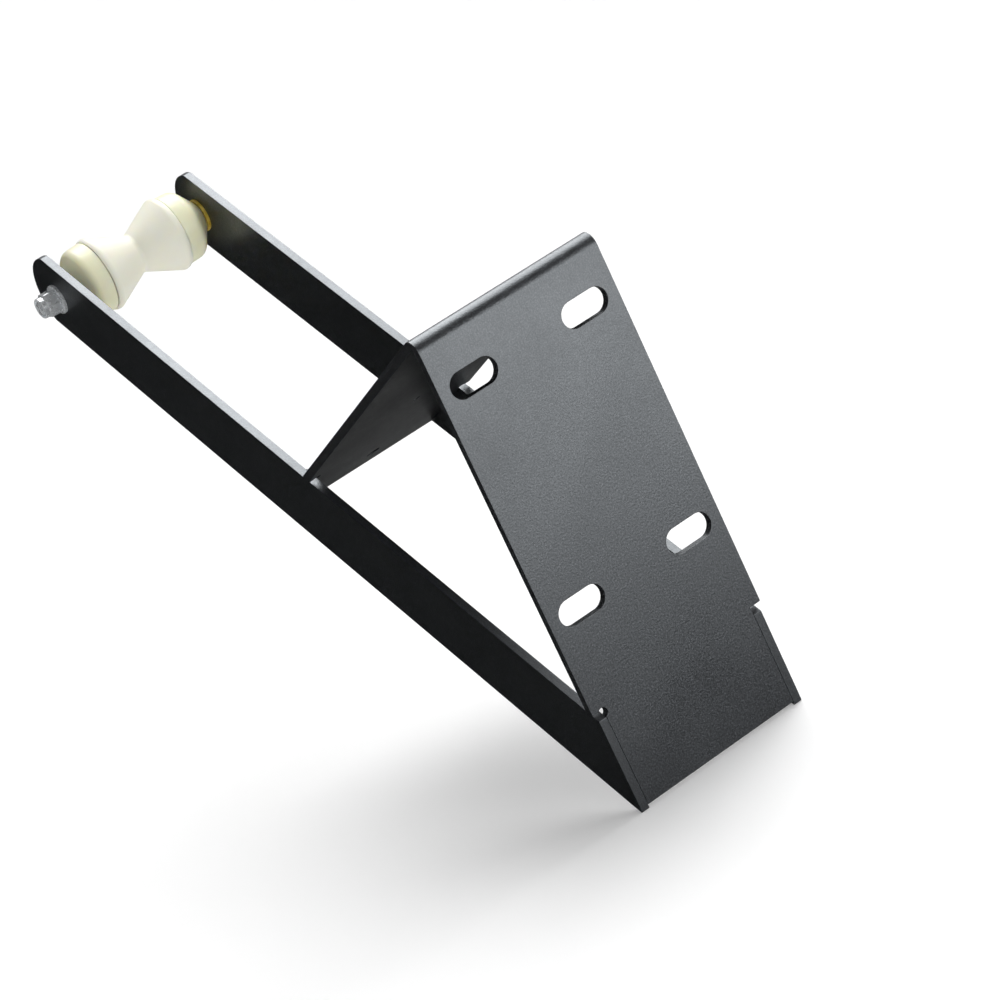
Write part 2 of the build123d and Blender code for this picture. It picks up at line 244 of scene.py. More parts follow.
def hole(centre, radius):
    """A whole circle, clockwise because the material lies outside it."""
    return [(Vector(centre), radius, 0, -2 * pi)]


def trace(arcs):
    """Points along an outline, each with its outward direction."""
    found = []
    for centre, radius, first, last in arcs:
        whole = abs(abs(last - first) - 2 * pi) < 1e-6
        steps = HOLE_STEPS if whole else max(3, ceil(abs(last - first) / ARC_STEP))
        if radius == 0:
            steps = 0
        outward = -1 if last < first else 1
        for i in range(steps if whole else steps + 1):
            angle = first + (last - first) * i / max(steps, 1)
            spot = centre + spoke(angle) * radius
            if not found or (spot - found[-1][0]).length > TOUCHING:
                found.append((spot, spoke(angle) * outward))
    if (found[0][0] - found[-1][0]).length < TOUCHING:
        found.pop()
    return found


# ---- meshes -------------------------------------------------------------------------------------
EDGE_STEPS = 4


def build_mesh(name, points, faces, normals=None, edge=None):
    """A smooth-shaded mesh whose faces look outwards, with exact normals where they are known."""
    work = bmesh.new()
    verts = [work.verts.new(point) for point in points]
    for face in faces:
        work.faces.new([verts[i] for i in face])
    bmesh.ops.recalc_face_normals(work, faces=work.faces)
    for face in work.faces:
        face.smooth = True
    mesh = bpy.data.meshes.new(name)
    work.to_mesh(mesh)
    work.free()
    if edge:
        mesh.attributes.new("edge", "FLOAT", "POINT").data.foreach_set("value", edge)
    if normals:
        mesh.normals_split_custom_set_from_vertices(normals)
    return mesh


def band(lower, upper):
    """Quads between two closed rings of the same length."""
    count = len(lower)
    return [
        (lower[i], lower[(i + 1) % count], upper[(i + 1) % count], upper[i])
        for i in range(count)
    ]


def edge_levels(thickness, rounding):
    """Rings from one face of a sheet to the other: (inset, depth, sideways, endways)."""
    turn = [pi / 2 * i / EDGE_STEPS for i in range(EDGE_STEPS + 1)]
    near = [(rounding * (1 - sin(a)), rounding * (1 - cos(a)), sin(a), -cos(a)) for a in turn]
    far = [(inset, thickness - depth, side, -end) for inset, depth, side, end in reversed(near)]
    return near + far


def fill(loops):
    """Triangles over an outline and its holes."""
    return tessellate_polygon([[spot.to_3d() for spot in loop] for loop in loops])


def sheet_mesh(name, loops, place, cap=fill):
    """A sheet with rounded edges. place(spot, depth, sideways, endways) bends it into shape."""
    levels = edge_levels(SHEET, EDGE_ROUNDING)
    points, normals, edge, faces = [], [], [], []
    rings = [[] for _ in levels]
    for loop in loops:
        previous = None
        for ring, (inset, depth, side, end) in zip(rings, levels):
            current = range(len(points), len(points) + len(loop))
            for spot, out in loop:
                point, normal = place(spot - out * inset, depth, out * side, end)
                points.append(point)
                normals.append(normal.normalized())
                edge.append(side)
            ring.extend(current)
            if previous:
                faces += band(previous, current)
            previous = current
    inset_loops = [[spot - out * EDGE_ROUNDING for spot, out in loop] for loop in loops]
    for face in cap(inset_loops):
        faces += [[rings[0][i] for i in face], [rings[-1][i] for i in face]]
    return build_mesh(name, points, faces, normals, edge)


def lathe_mesh(name, corners, side=1, segments=160):
    """A ring turned about the axle, from a profile of (distance along Y, radius, rounding)."""
    profile = trace(rounded(corners))
    points, normals, faces = [], [], []
    for i in range(segments):
        turn = 2 * pi * i / segments
        for spot, out in profile:
            across, radius = spot
            place = (AXLE_X + radius * cos(turn), side * across, AXLE_Z + radius * sin(turn))
            points.append(place)
            normals.append((out.y * cos(turn), side * out.x, out.y * sin(turn)))
    count = len(profile)
    for i in range(segments):
        here, there = i * count, (i + 1) % segments * count
        faces += band(range(here, here + count), range(there, there + count))
    return build_mesh(name, points, faces, normals)


def ring_mesh(name, stations, closed):
    """A body on the axle from rings. A station turns an angle into (distance along Y, radius)."""
    segments = 144
    points, faces, rings = [], [], []
    for station in stations:
        rings.append(range(len(points), len(points) + segments))
        for i in range(segments):
            turn = 2 * pi * i / segments
            across, radius = station(turn)
            points.append((AXLE_X + radius * cos(turn), across, AXLE_Z + radius * sin(turn)))
    for lower, upper in zip(rings, rings[1:]):
        faces += band(lower, upper)
    if closed:
        faces += band(rings[-1], rings[0])
    else:
        faces += [list(rings[0]), list(rings[-1])]
    mesh = build_mesh(name, points, faces)
    mesh.set_sharp_from_angle(angle=radians(25))
    return mesh


# ---- materials ----------------------------------------------------------------------------------
class Finish:
    """A material being made: its node tree, its shader, and short ways to add what feeds it."""

    def __init__(self, name, **constants):
        self.material = bpy.data.materials.new(name)
        self.material.use_nodes = True
        self.tree = self.material.node_tree
        self.shader = self.tree.nodes["Principled BSDF"]
        for socket, value in constants.items():
            self.shader.inputs[socket.replace("_", " ")].default_value = value
        self.place = self.add("ShaderNodeTexCoord").outputs["Object"]

    def add(self, kind, **inputs):
        node = self.tree.nodes.new(kind)
        for socket, value in inputs.items():
            target = node.inputs[socket.replace("_", " ")]
            if isinstance(value, bpy.types.NodeSocket):
                self.tree.links.new(value, target)
            else:
                target.default_value = value
        return node

    def stretched(self, x, y, z):
        """Coordinates scaled unequally, which draw a noise out into streaks."""
        mapping = self.add("ShaderNodeMapping", Vector=self.place, Scale=(x, y, z))
        return mapping.outputs["Vector"]

    def noise(self, scale, detail=2.0, where=None, roughness=0.5):
        node = self.add(
            "ShaderNodeTexNoise",
            Vector=where or self.place,
            Scale=scale,
            Detail=detail,
            Roughness=roughness,
        )
        return node.outputs["Fac"]

    def spread(self, value, low, high, start=0.0, stop=1.0):
        """A value from start to stop, mapped to a value from low to high."""
        node = self.add("ShaderNodeMapRange", Value=value)
        node.inputs["From Min"].default_value = start
        node.inputs["From Max"].default_value = stop
        node.inputs["To Min"].default_value = low
        node.inputs["To Max"].default_value = high
        return node.outputs["Result"]

    def combine(self, operation, first, second):
        node = self.add("ShaderNodeMath")
        node.operation = operation
        for socket, value in zip(node.inputs, (first, second)):
            if isinstance(value, bpy.types.NodeSocket):
                self.tree.links.new(value, socket)
            else:
                socket.default_value = value
        return node.outputs["Value"]

    def shades(self, value, low, high, start=0.3, stop=0.7):
        """A value from start to stop, turned into a colour from low to high."""
        node = self.add("ShaderNodeValToRGB", Fac=value)
        for element, position, colour in zip(
            node.color_ramp.elements, (start, stop), (low, high)
        ):
            element.position = position
            element.color = (*colour, 1)
        return node.outputs["Color"]

    def blend(self, factor, first, second):
        """The first colour where the factor is 0, and the second where it is 1."""
        node = self.add("ShaderNodeMix")
        node.data_type = "RGBA"
        colours = [s for s in node.inputs if s.type == "RGBA"]
        links = self.tree.links
        links.new(factor, node.inputs["Factor"])
        for socket, value in zip(colours, (first, second)):
            if isinstance(value, bpy.types.NodeSocket):
                links.new(value, socket)
            else:
                socket.default_value = (*value, 1)
        return [s for s in node.outputs if s.type == "RGBA"][0]

    def bump(self, height, distance, strength=1.0, under=None):
        """A normal roughened by a height, on top of the normal of an earlier bump."""
        node = self.add("ShaderNodeBump", Height=height, Distance=distance, Strength=strength)
        if under:
            self.tree.links.new(under, node.inputs["Normal"])
        return node.outputs["Normal"]

    def drive(self, socket, value):
        self.tree.links.new(value, self.shader.inputs[socket])


COOL = (0.90, 0.955, 1.0, 1)  # tint of the black coat's reflections


def powder_coat(name, lumps):
    """Black powder coat: orange peel, mottled gloss, and a little more worn over the edges."""
    finish = Finish(name, Specular_IOR_Level=1.0, IOR=1.7, Specular_Tint=COOL)
    grain = finish.noise(620, 3, roughness=0.6)
    peel = finish.noise(2100, 1.5)
    cloud = finish.noise(14, 3)
    mottle = finish.noise(210, 2)
    fleck = finish.noise(900, 2, roughness=0.6)
    colour = finish.shades(fleck, (0.003, 0.0032, 0.0036), (0.060, 0.063, 0.070), 0.44, 0.74)
    edge = finish.add("ShaderNodeAttribute")
    edge.attribute_name = "edge"
    worn = finish.combine("MULTIPLY", edge.outputs["Fac"], finish.spread(cloud, 0.1, 0.5))
    finish.drive("Base Color", finish.blend(worn, colour, (0.022, 0.023, 0.025)))
    rough = finish.spread(cloud, 0.37, 0.45, 0.3, 0.7)
    rough = finish.combine("ADD", rough, finish.spread(mottle, -0.025, 0.025, 0.3, 0.7))
    finish.drive("Roughness", finish.combine("SUBTRACT", rough, finish.spread(grain, 0, 0.05)))
    normal = finish.bump(grain, 0.6 * MM, lumps)
    finish.drive("Normal", finish.bump(peel, 0.1 * MM, 0.3, normal))
    return finish.material


def moulded_plastic(name, pale, deep, depth, gloss):
    """Waxy, slightly translucent plastic, with faint turned lines and handling marks."""
    finish = Finish(
        name,
        Subsurface_Weight=depth,
        Subsurface_Radius=(1.0, 0.82, 0.42),
        Subsurface_Scale=5 * MM,
        Specular_IOR_Level=0.45,
        IOR=1.52,
    )
    cloud = finish.noise(26, 3)
    fine = finish.noise(900, 3)
    turned = finish.noise(1, 2, finish.stretched(40, 1500, 40))
    finish.drive("Base Color", finish.shades(cloud, deep, pale, 0.3, 0.72))
    rough = finish.spread(finish.noise(60, 4), gloss - 0.05, gloss + 0.07, 0.3, 0.7)
    finish.drive("Roughness", rough)
    normal = finish.bump(turned, 0.02 * MM, 0.5)
    finish.drive("Normal", finish.bump(fine, 0.03 * MM, 0.4, normal))
    return finish.material


def amber_plastic(name):
    """Translucent amber plastic, slightly cloudy."""
    finish = Finish(
        name,
        Subsurface_Weight=0.35,
        Subsurface_Radius=(1.0, 0.6, 0.12),
        Subsurface_Scale=3 * MM,
        Specular_IOR_Level=0.5,
        IOR=1.5,
        Coat_Weight=0.2,
        Coat_Roughness=0.15,
    )
    cloud = finish.noise(180, 3)
    finish.drive(
        "Base Color", finish.shades(cloud, (0.55, 0.38, 0.035), (0.80, 0.62, 0.13), 0.3, 0.7)
    )
    finish.drive("Roughness", finish.spread(cloud, 0.25, 0.38))
    finish.drive("Normal", finish.bump(finish.noise(1100, 2), 0.02 * MM, 0.5))
    return finish.material


def zinc_plate(name):
    """Bright zinc: blue-grey, with passivation clouds and fine marks along the axle."""
    finish = Finish(name, Metallic=0.6)
    cloud = finish.noise(150, 4, roughness=0.6)
    marks = finish.noise(1, 3, finish.stretched(2600, 300, 2600))
    speck = finish.noise(1500, 3)
    colour = finish.shades(cloud, (0.74, 0.77, 0.80), (0.93, 0.95, 0.96), 0.3, 0.72)
    tint = finish.spread(speck, 0, 0.35, 0.55, 0.8)
    finish.drive("Base Color", finish.blend(tint, colour, (0.72, 0.72, 0.64)))
    finish.drive("Roughness", finish.spread(cloud, 0.20, 0.36, 0.3, 0.7))
    normal = finish.bump(marks, 0.01 * MM, 0.5)
    finish.drive("Normal", finish.bump(speck, 0.012 * MM, 0.4, normal))
    return finish.material


def nylon(name):
    """The pale ring that grips the thread."""
    finish = Finish(
        name, Subsurface_Weight=0.3, Subsurface_Radius=(1.0, 0.9, 0.8), Subsurface_Scale=2 * MM
    )
    cloud = finish.noise(500, 3)
    finish.drive("Base Color", finish.shades(cloud, (0.50, 0.56, 0.60), (0.72, 0.76, 0.78)))
    finish.drive("Roughness", finish.spread(cloud, 0.35, 0.5))
    finish.drive("Normal", finish.bump(finish.noise(1800, 2), 0.02 * MM, 0.4))
    return finish.material


SLOTS = {
    "bracket_coat": powder_coat("bracket_coat_look", 0.3),
    "weld_coat": powder_coat("weld_coat_look", 0.5),
    "spool_plastic": moulded_plastic(
        "spool_plastic_look", (0.93, 0.915, 0.80), (0.91, 0.89, 0.75), 0.45, 0.42
    ),
    "bell_plastic": moulded_plastic(
        "bell_plastic_look", (0.93, 0.92, 0.70), (0.90, 0.88, 0.62), 0.6, 0.34
    ),
    "bush_plastic": amber_plastic("bush_plastic_look"),
    "zinc_plate": zinc_plate("zinc_plate_look"),
    "insert_nylon": nylon("insert_nylon_look"),
}


def add_piece(node, mesh, slot):
    """Shows a mesh in place of a CAD node, on that node's body."""
    piece = bpy.data.objects.new(f"{node}_piece", mesh)
    bpy.context.scene.collection.objects.link(piece)
    mesh.materials.append(SLOTS[slot])
    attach(piece, frame["nodes"][node]["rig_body"])
    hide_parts(node)


# ---- the arms -----------------------------------------------------------------------------------
def arm_outline():
    """The arm's flat shape: a mitred foot, two straight edges and a round tip."""
    tip = Vector((AXLE_REACH, ARM_DEPTH / 2))
    reach = TIP_RADIUS - TIP_BLEND
    drop = ARM_DEPTH / 2 - TIP_BLEND
    run = sqrt(reach**2 - drop**2)
    swing = atan2(drop, run)
    below = tip + Vector((run, -drop))
    above = tip + Vector((run, drop))
    ends = rounded(
        [
            (ARM_DEPTH / tan(ARM_ANGLE), ARM_DEPTH, LASER_CORNER),
            (0, 0, ARM_CORNER_RADIUS),
            (AXLE_REACH, 0, 0),
            (AXLE_REACH, ARM_DEPTH, 0),
        ]
    )
    return [
        ends[1],
        (below, TIP_BLEND, -pi / 2, -swing),
        (tip, TIP_RADIUS, -swing, swing),
        (above, TIP_BLEND, swing, pi / 2),
        ends[0],
    ]


def arm_place(inner_face, side):
    """Puts a point of the arm's flat outline where it belongs."""

    def place(spot, depth, sideways, endways):
        across = Vector((0, side, 0))
        point = ARM_CORNER + ALONG * spot.x + ACROSS * spot.y + across * (inner_face + depth)
        return point, ALONG * sideways.x + ACROSS * sideways.y + across * endways

    return place


def add_arm(node, side):
    loops = [
        trace(arm_outline()),
        trace(hole((AXLE_REACH, ARM_DEPTH / 2), AXLE_HOLE_RADIUS)),
    ]
    add_piece(node, sheet_mesh(node, loops, arm_place(HALF_GAP, side)), "bracket_coat")


# ---- the bent plate -----------------------------------------------------------------------------
def upside_down(arcs, level):
    """Arcs mirrored about a horizontal line."""
    return [
        (Vector((centre.x, 2 * level - centre.y)), radius, -last, -first)
        for centre, radius, first, last in reversed(arcs)
    ]


def left_right(arcs):
    """Arcs mirrored about the sheet's middle line."""
    return [
        (Vector((-centre.x, centre.y)), radius, pi - last, pi - first)
        for centre, radius, first, last in reversed(arcs)
    ]


def relief_arcs(level, below):
    """The round relief in the corner of a step that makes room for an arm."""
    soft = LASER_CORNER
    relief = Vector((HALF_GAP + RELIEF_OUT, level - below))
    reach = RELIEF_RADIUS + soft
    aside = RELIEF_OUT + soft
    rise = below + soft
    drop = sqrt(reach**2 - aside**2)
    run = sqrt(reach**2 - rise**2)
    first = atan2(drop, aside)
    second = atan2(rise, run)
    return [
        (relief + Vector((-aside, -drop)), soft, 0, first),
        (relief, RELIEF_RADIUS, pi + first, second),
        (relief + Vector((run, rise)), soft, pi + second, 3 * pi / 2),
    ]


def plain_corner(level):
    """The same step without a relief."""
    soft = LASER_CORNER
    return [(Vector((HALF_GAP + soft, level - soft)), soft, pi, pi / 2)]


def step_arcs(level, corner):
    """The step where the sheet widens past an arm, with its inner corner's arcs."""
    soft = LASER_CORNER
    return corner + [(Vector((HALF_PLATE - soft, level + soft)), soft, -pi / 2, 0)]


def brake_line():
    """Stations of the press brake's mark, with how deep the sheet is dented there."""
    middle = BEND_START - BRAKE_LINE_DROP
    return [
        (middle - BRAKE_LINE_WIDTH, 0),
        (middle, BRAKE_LINE_DEPTH),
        (middle + BRAKE_LINE_WIDTH, 0),
    ]


def blank_stations():
    """Distances up the blank at which the sheet is divided."""
    bend = [BEND_START + (BEND_END - BEND_START) * i / BEND_STEPS for i in range(BEND_STEPS + 1)]
    return [level for level, _ in brake_line()] + bend


def half_outline(foot_corner):
    """The blank's outline on the left arm's side, from its foot to the brace's end."""
    shoulder = unrolled(BRACE_SHOULDER)
    end = unrolled(BRACE_END)
    soft = LASER_CORNER
    half = [(Vector((HALF_GAP - soft, PLATE_BOTTOM + soft)), soft, -pi / 2, 0)]
    half += step_arcs(SHOULDER_Z, foot_corner)
    half += [(Vector((HALF_PLATE, level)), 0, 0, 0) for level in blank_stations()]
    half += upside_down(step_arcs(shoulder, relief_arcs(shoulder, 0)), shoulder)
    half += [(Vector((HALF_GAP - soft, end - soft)), soft, 0, pi / 2)]
    return half


def blank_outline():
    """The whole blank. Only the left foot has a round relief, as in the photo."""
    left = half_outline(relief_arcs(SHOULDER_Z, RELIEF_DROP))
    return left + left_right(half_outline(plain_corner(SHOULDER_Z)))


def slot_outline(y, z):
    return [
        (Vector((y + SLOT_STRAIGHT, z)), SLOT_RADIUS, pi / 2, -pi / 2),
        (Vector((y - SLOT_STRAIGHT, z)), SLOT_RADIUS, -pi / 2, -3 * pi / 2),
    ]


def bent(spot, depth, sideways, endways):
    """Where a point of the flat blank lies once the sheet is bent, and which way it looks."""
    across, up = spot
    swing = min(max(up - BEND_START, 0) / BEND_RADIUS, BEND_TURN)
    straight = min(up - BEND_START, 0) + max(up - BEND_END, 0)
    heading = Vector((sin(swing), 0, cos(swing)))
    outward = Vector((-cos(swing), 0, sin(swing)))
    dents = {round(level, 7): dent for level, dent in brake_line()}
    depth += dents.get(round(up, 7), 0) if endways == -1 else 0
    centre = Vector((BEND_RADIUS, across, BEND_START))
    point = centre + outward * (BEND_RADIUS - depth) + heading * straight
    return point, heading * sideways.y + Vector((0, sideways.x, 0)) - outward * endways


def blank_cap(loops):
    """Faces over the blank: filled below and above its stations, and strips between them."""
    spots = [spot for loop in loops for spot in loop]
    low, high = blank_stations()[0], blank_stations()[-1]
    faces = []
    for keep in (lambda s: s.y <= low + TOUCHING, lambda s: s.y >= high - TOUCHING):
        members, outlines, start = [], [], 0
        for loop in loops:
            kept = [start + i for i, spot in enumerate(loop) if keep(spot)]
            start += len(loop)
            if kept:
                members += kept
                outlines.append([spots[i] for i in kept])
        faces += [[members[i] for i in face] for face in fill(outlines)]
    outer = enumerate(loops[0])
    middle = [i for i, spot in outer if low - TOUCHING <= spot.y <= high + TOUCHING]
    right = sorted((i for i in middle if spots[i].x > 0), key=lambda i: spots[i].y)
    left = sorted((i for i in middle if spots[i].x < 0), key=lambda i: spots[i].y)
    for i in range(len(right) - 1):
        faces.append([right[i], right[i + 1], left[i + 1], left[i]])
    return faces


def add_bent_plate():
    loops = [trace(blank_outline())]
    for y in (-SLOT_HALF_Y, SLOT_HALF_Y):
        for z in (-SLOT_HALF_Z, SLOT_HALF_Z):
            loops.append(trace(slot_outline(y, z)))
    for along, radius in BRACE_HOLES:
        loops.append(trace(hole((0, unrolled(along)), radius)))
    add_piece(
        "bent_plate", sheet_mesh("bent_plate", loops, bent, blank_cap), "bracket_coat"
    )


# ---- the welds ----------------------------------------------------------------------------------
def weld_section(run, length, seed):
    """One cross-section of a weld bead: (off the sheet, off the arm) pairs."""
    to_end = min(run, length - run)
    taper = sqrt(max(1 - max(1 - to_end / WELD_ROUND_END, 0) ** 2, WELD_TAPER_FLOOR))
    quick, slow = WELD_WANDER
    wander = 1 + quick * sin(run / MM * 0.9 + seed) + slow * sin(run / MM * 0.37 + 2 * seed)
    leg = WELD_LEG * taper * wander / (1 + quick + slow)
    section = [(-WELD_SINK, -WELD_SINK), (leg, -WELD_SINK)]
    for i in range(WELD_ARC_STEPS + 1):
        t = i / WELD_ARC_STEPS
        belly = 4 * t * (1 - t)
        phase = run / WELD_RIPPLE + 0.8 * belly + 0.2 * sin(run / MM * 0.5 + seed)
        ripple = WELD_RIPPLE_HEIGHT * (abs(sin(pi * phase)) - 0.5) * belly**0.5
        bulge = (WELD_CROWN * belly + ripple) * taper / sqrt(2)
        section.append((leg * (1 - t) + bulge, leg * t + bulge))
    section.append((-WELD_SINK, leg))
    return section


def add_weld(node, start, end, off_sheet, side, seed):
    """A rippled fillet bead in the corner between a sheet and an arm."""
    run = end - start
    heading = run.normalized()
    off_arm = Vector((0, -side, 0))
    count = ceil(run.length / WELD_STATION)
    points, faces, previous = [], [], None
    for i in range(count + 1):
        along = run.length * i / count
        section = weld_section(along, run.length, seed)
        current = range(len(points), len(points) + len(section))
        for out, in_ in section:
            points.append(start + heading * along + off_sheet * out + off_arm * in_)
        if previous:
            faces += band(previous, current)
        else:
            faces.append(list(current))
        previous = current
    faces.append(list(previous))
    mesh = build_mesh(node, points, faces)
    mesh.set_sharp_from_angle(angle=radians(50))
    add_piece(node, mesh, "weld_coat")


def add_welds():
    """Two beads at the plate's foot and two along the brace, each inside an arm."""
    low = PLATE_BOTTOM + SHEET / tan(ARM_ANGLE) + WELD_END_GAP
    high = SHOULDER_Z - RELIEF_DROP - RELIEF_RADIUS - WELD_END_GAP
    first = BRACE_SHOULDER + RELIEF_RADIUS + WELD_END_GAP
    last = BRACE_END - WELD_END_GAP
    for name, side in (("left", 1), ("right", -1)):
        inner = Vector((0, side * HALF_GAP, 0))
        foot = Vector((SHEET, 0, 0)) + inner
        add_weld(
            f"{name}_plate_weld",
            foot + Vector((0, 0, low)),
            foot + Vector((0, 0, high)),
            Vector((1, 0, 0)),
            side,
            1.3 + side,
        )
        top = APEX + inner
        add_weld(
            f"{name}_brace_weld",
            top + BRACE_DIR * first,
            top + BRACE_DIR * last,
            BRACE_UP,
            side,
            4.1 + side,
        )


# ---- the roller ---------------------------------------------------------------------------------
def add_spool():
    half = SPOOL_HIGH.y
    corners = [
        (-half, BORE_RADIUS, 0.4 * MM),
        (half, BORE_RADIUS, 0.4 * MM),
        (half, SPOOL_END_RADIUS, 0.8 * MM),
        (CONE_END, FLANGE_RADIUS, 5 * MM),
        (0, WAIST_RADIUS, 5 * MM),
        (-CONE_END, FLANGE_RADIUS, 5 * MM),
        (-half, SPOOL_END_RADIUS, 0.8 * MM),
    ]
    mesh = lathe_mesh("roller_spool", corners, segments=ROLLER_SEGMENTS)
    add_piece("roller_spool", mesh, "spool_plastic")


def add_bell(node, side):
    inner, outer = BELL_LOW.y, BELL_HIGH.y
    corners = [
        (inner, BORE_RADIUS, 0.4 * MM),
        (outer, BORE_RADIUS, 0.4 * MM),
        (outer, BELL_HUB_RADIUS, 1.5 * MM),
        (BELL_SHOULDER_AT, BELL_SHOULDER_RADIUS, 8 * MM),
        (inner, BELL_RIM_RADIUS, 1 * MM),
    ]
    add_piece(node, lathe_mesh(node, corners, side, ROLLER_SEGMENTS), "bell_plastic")


def add_bush(node, side):
    inner, outer = BUSH_LOW.y, BUSH_HIGH.y
    corners = [
        (inner, BUSH_BORE_RADIUS, 0.3 * MM),
        (outer, BUSH_BORE_RADIUS, 0.3 * MM),
        (outer, BUSH_SPIGOT_RADIUS, 0.4 * MM),
        (HALF_GAP, BUSH_SPIGOT_RADIUS, 0.2 * MM),
        (HALF_GAP, BUSH_FLANGE_RADIUS, 0.3 * MM),
        (inner, BUSH_FLANGE_RADIUS, 0.6 * MM),
    ]
    add_piece(node, lathe_mesh(node, corners, side), "bush_plastic")


# ---- the fasteners ------------------------------------------------------------------------------
def add_washer(node, side):
    inner, outer = WASHER_LOW.y, WASHER_HIGH.y
    corners = [
        (inner, WASHER_BORE_RADIUS, 0.2 * MM),
        (outer, WASHER_BORE_RADIUS, 0.35 * MM),
        (outer, WASHER_RADIUS, 0.5 * MM),
        (inner, WASHER_RADIUS, 0.15 * MM),
    ]
    add_piece(node, lathe_mesh(node, corners, side), "zinc_plate")


def hex_radius(turn, inset=0.0):
    """Radius of a hexagon with corners at the sides, slightly softened at the corners."""
    from_flat = (turn % (pi / 3)) - pi / 6
    return min((FLAT_RADIUS - inset) / cos(from_flat), HEX_CORNER_RADIUS - inset)


def circle(across, radius):
    return lambda turn: (across, radius)


def chamfered(face, inward, inset=0.0):
    """The curved edge left where a cone trims a hexagon's corners."""

    def station(turn):
        radius = hex_radius(turn, inset)
        trimmed = max(radius - HEX_FACE_RADIUS, 0) * tan(HEX_CHAMFER)
        return face + inward * (trimmed - inset * 0.6), radius

    return station


def thread(from_y, to_y):
    """Stations of a right-hand thread that fades in at its start and is pointed at its end."""
    count = ceil((to_y - from_y) / THREAD_PITCH * THREAD_STATIONS)

    def station_at(across):
        def station(turn):
            phase = (across / THREAD_PITCH + turn / (2 * pi)) % 1
            crest = min(max(THREAD_CREST - THREAD_FLANK * abs(phase - 0.5), 0), 1)
            fade = min((across - from_y) / (2 * THREAD_PITCH), 1)
            depth = THREAD_MAJOR_RADIUS - THREAD_MINOR_RADIUS
            radius = THREAD_MAJOR_RADIUS - depth * (1 - crest) * fade
            point = THREAD_MAJOR_RADIUS - max(BOLT_POINT - (to_y - across), 0)
            return across, min(radius, point)

        return station

    return [station_at(from_y + (to_y - from_y) * i / count) for i in range(count + 1)]


def add_bolt():
    """The bolt, from the dish in its head to its threaded tip."""
    head, seat, tip = BOLT_LOW.y, -WASHER_HIGH.y, BOLT_HIGH.y
    rings = [
        circle(head + 0.35 * MM, 0.55 * HEX_FACE_RADIUS),
        circle(head + 0.25 * MM, 0.62 * HEX_FACE_RADIUS),
        circle(head + 0.02 * MM, 0.72 * HEX_FACE_RADIUS),
        circle(head, 0.76 * HEX_FACE_RADIUS),
        circle(head, HEX_FACE_RADIUS),
        chamfered(head, 1, HEX_SOFT_INSET),
        chamfered(head + HEX_SOFT_DEPTH, 1),
        lambda turn: (seat - HEX_SEAT_INSET, hex_radius(turn)),
        lambda turn: (seat, hex_radius(turn, HEX_SEAT_INSET)),
        circle(seat, BOLT_RADIUS + 0.3 * MM),
        circle(seat + 0.3 * MM, BOLT_RADIUS),
        circle(tip - THREAD_LENGTH - 0.5 * MM, BOLT_RADIUS),
    ]
    rings += thread(tip - THREAD_LENGTH, tip)
    rings.append(circle(tip, THREAD_MINOR_RADIUS - 0.9 * MM))
    add_piece("axle_bolt", ring_mesh("axle_bolt", rings, closed=False), "zinc_plate")


def collar_stations(hex_top, top):
    """The round collar, rolled over at its rim to hold the nylon ring."""
    rim = 1.2 * MM
    lip = 0.35 * MM
    arc = [pi / 2 * i / 8 for i in range(9)]
    outer = [
        circle(top - rim + rim * sin(a), NUT_COLLAR_RADIUS - rim + rim * cos(a)) for a in arc
    ]
    inner = [
        circle(top - lip + lip * cos(a), LIP_RADIUS + lip - lip * sin(a)) for a in arc[::2]
    ]
    return [
        circle(hex_top, NUT_COLLAR_RADIUS + 0.4 * MM),
        circle(hex_top + 0.15 * MM, NUT_COLLAR_RADIUS + 0.15 * MM),
        circle(hex_top + 0.4 * MM, NUT_COLLAR_RADIUS),
        *outer,
        *inner,
    ]


def add_nut():
    seat, top = NUT_LOW.y, NUT_HIGH.y
    hex_top = seat + NUT_HEX_HEIGHT
    pocket_top, pocket_floor = INSERT_HIGH.y, INSERT_LOW.y
    rings = [
        circle(seat, BOLT_RADIUS + 0.4 * MM),
        circle(seat, HEX_FACE_RADIUS),
        chamfered(seat, 1, HEX_SOFT_INSET),
        chamfered(seat + HEX_SOFT_DEPTH, 1),
        chamfered(hex_top - HEX_SOFT_DEPTH, -1),
        chamfered(hex_top, -1, HEX_SOFT_INSET),
        circle(hex_top, HEX_FACE_RADIUS),
        *collar_stations(hex_top, top),
        circle(pocket_top, LIP_RADIUS),
        circle(pocket_top, INSERT_RADIUS),
        circle(pocket_floor, INSERT_RADIUS),
        circle(pocket_floor, BOLT_RADIUS),
        circle(seat + 0.4 * MM, BOLT_RADIUS),
    ]
    add_piece("lock_nut", ring_mesh("lock_nut", rings, closed=True), "zinc_plate")


def add_insert():
    low, high = INSERT_LOW.y, INSERT_HIGH.y
    corners = [
        (low, BOLT_RADIUS, 0.2 * MM),
        (high, BOLT_RADIUS, 0.5 * MM),
        (high, INSERT_RADIUS, 0.2 * MM),
        (low, INSERT_RADIUS, 0.2 * MM),
    ]
    add_piece("nut_insert", lathe_mesh("nut_insert", corners), "insert_nylon")


for prefix, hand in (("left", 1), ("right", -1)):
    add_arm(f"{prefix}_arm", hand)
    add_bell(f"{prefix}_end_bell", hand)
    add_bush(f"{prefix}_bush", hand)
add_washer("nut_washer", 1)
add_washer("head_washer", -1)
add_bent_plate()
add_welds()
add_spool()
add_bolt()
add_nut()
add_insert()

# ---- the studio ---------------------------------------------------------------------------------
STAGE_RADIUS = 14.0
STAGE_COVE = 3.0
STAGE_HEIGHT = 9.0
STAGE_FLAT = 0.6  # radius of the disc in the middle of the floor
STAGE_SEGMENTS = 96
COVE_STEPS = 12
STAGE_GLOW = 0.18


